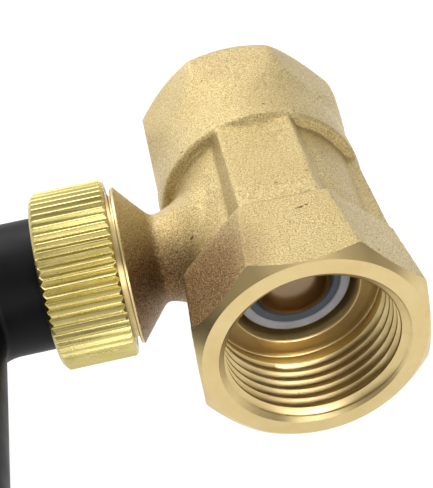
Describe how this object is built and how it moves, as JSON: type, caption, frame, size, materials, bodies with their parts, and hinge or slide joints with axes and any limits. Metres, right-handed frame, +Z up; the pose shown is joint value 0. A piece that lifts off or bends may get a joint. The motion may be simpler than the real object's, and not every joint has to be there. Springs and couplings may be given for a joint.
{
  "type": "water pressure regulator",
  "caption": "Angle-pattern brass water pressure regulator: octagonal barrel with threaded inlet, side outlet branch with knurled swivel nut and black turning elbow.",
  "frame": {"origin": "centre of the inlet mouth, on the plane of the turned inlet face", "axes": "+Y along the barrel from the inlet to the adjusting screw, +Z up through the flat pad, -X along the outlet branch towards the elbow"},
  "size_m": [0.0825, 0.1027, 0.033],
  "materials": {
    "forged_brass": "sand blasted",
    "turned_brass": "turned",
    "polished_brass": "knurled, bright",
    "steel": "turned stainless",
    "polished_steel": "polished",
    "grey_rubber": "matt",
    "black_rubber": "matt",
    "black_plastic": "moulded, satin",
    "white_plastic": "satin",
    "bronze": "sintered"
  },
  "bodies": {
    "housing": {"body": "forged_brass", "vent_filter": "bronze", "rear_cap": "turned_brass", "cap_o_ring": "black_rubber", "outlet_washer": "black_rubber", "regulating_spring": "steel"},
    "valve_train": {"piston": "turned_brass", "piston_o_ring": "black_rubber", "piston_guide_ring": "white_plastic", "valve_stem": "steel", "valve_disc": "grey_rubber", "disc_nut": "polished_steel", "disc_backing_washer": "steel", "stem_washer": "steel", "stem_nut": "steel"},
    "spring_seat": {"spring_button": "turned_brass"},
    "adjuster": {"adjusting_screw": "steel"},
    "lock_carrier": {"lock_washer": "steel"},
    "locknut": {"lock_nut": "turned_brass"},
    "nut_carrier": {"nut_glide_ring": "white_plastic"},
    "swivel_nut": {"coupling_nut": "polished_brass"},
    "elbow": {"outlet_elbow": "black_plastic"}
  },
  "joints": [
    {"name": "valve_slide", "type": "slide", "parent": "housing", "child": "valve_train", "axis": [0, 1, 0], "range_m": [0, 0.0018], "stiffness_N_per_m": 11000, "springref_m": -0.001, "deforming": ["regulating_spring"]},
    {"name": "spring_seat_slide", "type": "slide", "parent": "housing", "child": "spring_seat", "axis": [0, -1, 0], "range_m": [0, 0.003], "deforming": ["regulating_spring"]},
    {"name": "adjusting_screw_turn", "type": "hinge", "parent": "spring_seat", "child": "adjuster", "pos_m": [0, 0.058, 0], "axis": [0, -1, 0], "range_deg": [0, 864]},
    {"name": "lock_washer_slide", "type": "slide", "parent": "housing", "child": "lock_carrier", "axis": [0, 1, 0], "range_m": [0, 0.0012]},
    {"name": "lock_nut_turn", "type": "hinge", "parent": "lock_carrier", "child": "locknut", "pos_m": [0, 0.0648, 0], "axis": [0, 1, 0], "range_deg": [0, 345.6]},
    {"name": "nut_ring_slide", "type": "slide", "parent": "housing", "child": "nut_carrier", "axis": [-1, 0, 0], "range_m": [0, 0.00375]},
    {"name": "coupling_nut_turn", "type": "hinge", "parent": "nut_carrier", "child": "swivel_nut", "pos_m": [-0.03, 0.027, 0], "axis": [-1, 0, 0], "range_deg": [0, 900]},
    {"name": "elbow_swivel", "type": "hinge", "parent": "housing", "child": "elbow", "pos_m": [-0.038, 0.027, 0], "axis": [-1, 0, 0], "continuous": true}
  ],
  "couplings": [
    {"joint": "adjusting_screw_turn", "follows": "spring_seat_slide", "rad_per_m": 5026.5},
    {"joint": "lock_nut_turn", "follows": "lock_washer_slide", "rad_per_m": 5026.5},
    {"joint": "coupling_nut_turn", "follows": "nut_ring_slide", "rad_per_m": 4188.8}
  ]
}
